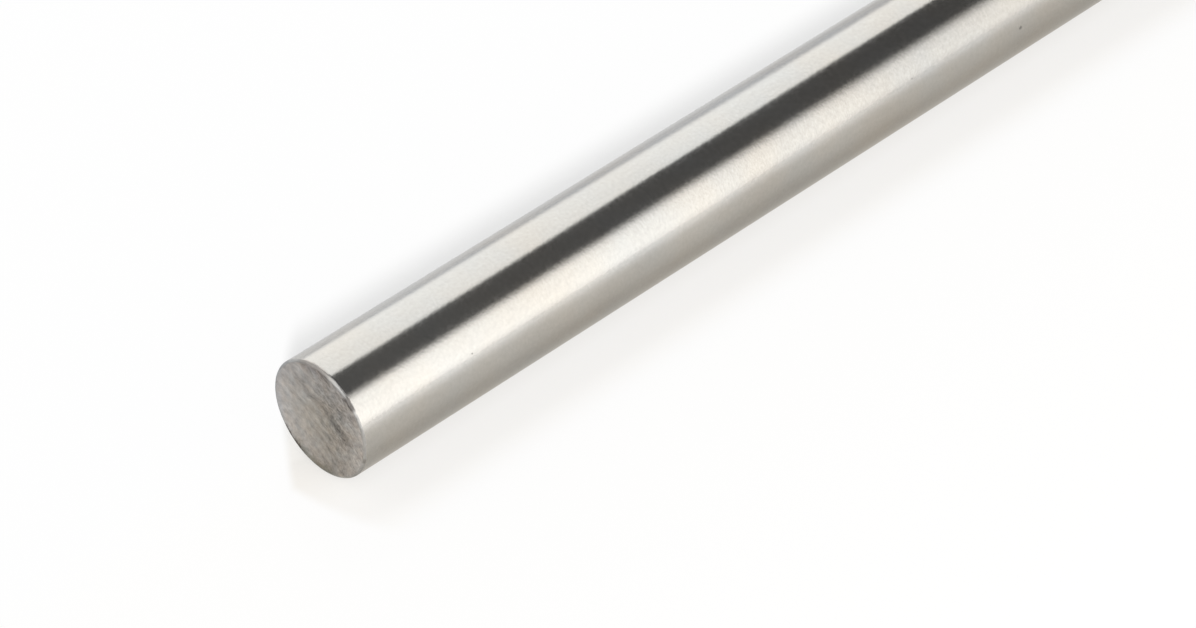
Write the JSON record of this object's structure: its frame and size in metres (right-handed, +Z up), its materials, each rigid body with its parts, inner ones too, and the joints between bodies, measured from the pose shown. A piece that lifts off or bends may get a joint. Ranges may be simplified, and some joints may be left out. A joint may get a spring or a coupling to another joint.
{
  "type": "round metal bar",
  "caption": "Solid round bar of bright ground steel with sawn ends, lying on its side; raw stock for shafts, pins and turned parts.",
  "frame": {"origin": "on the floor, under the middle of the bar's length", "axes": "+X along the bar from the near sawn end to the far one, +Z up, +Y across the bar"},
  "size_m": [0.333, 0.02, 0.02],
  "materials": {
    "bright_steel": "bright ground skin with fine grinding lines, sawn ends"
  },
  "bodies": {
    "root": {"round_bar": "bright_steel"}
  },
  "joints": []
}
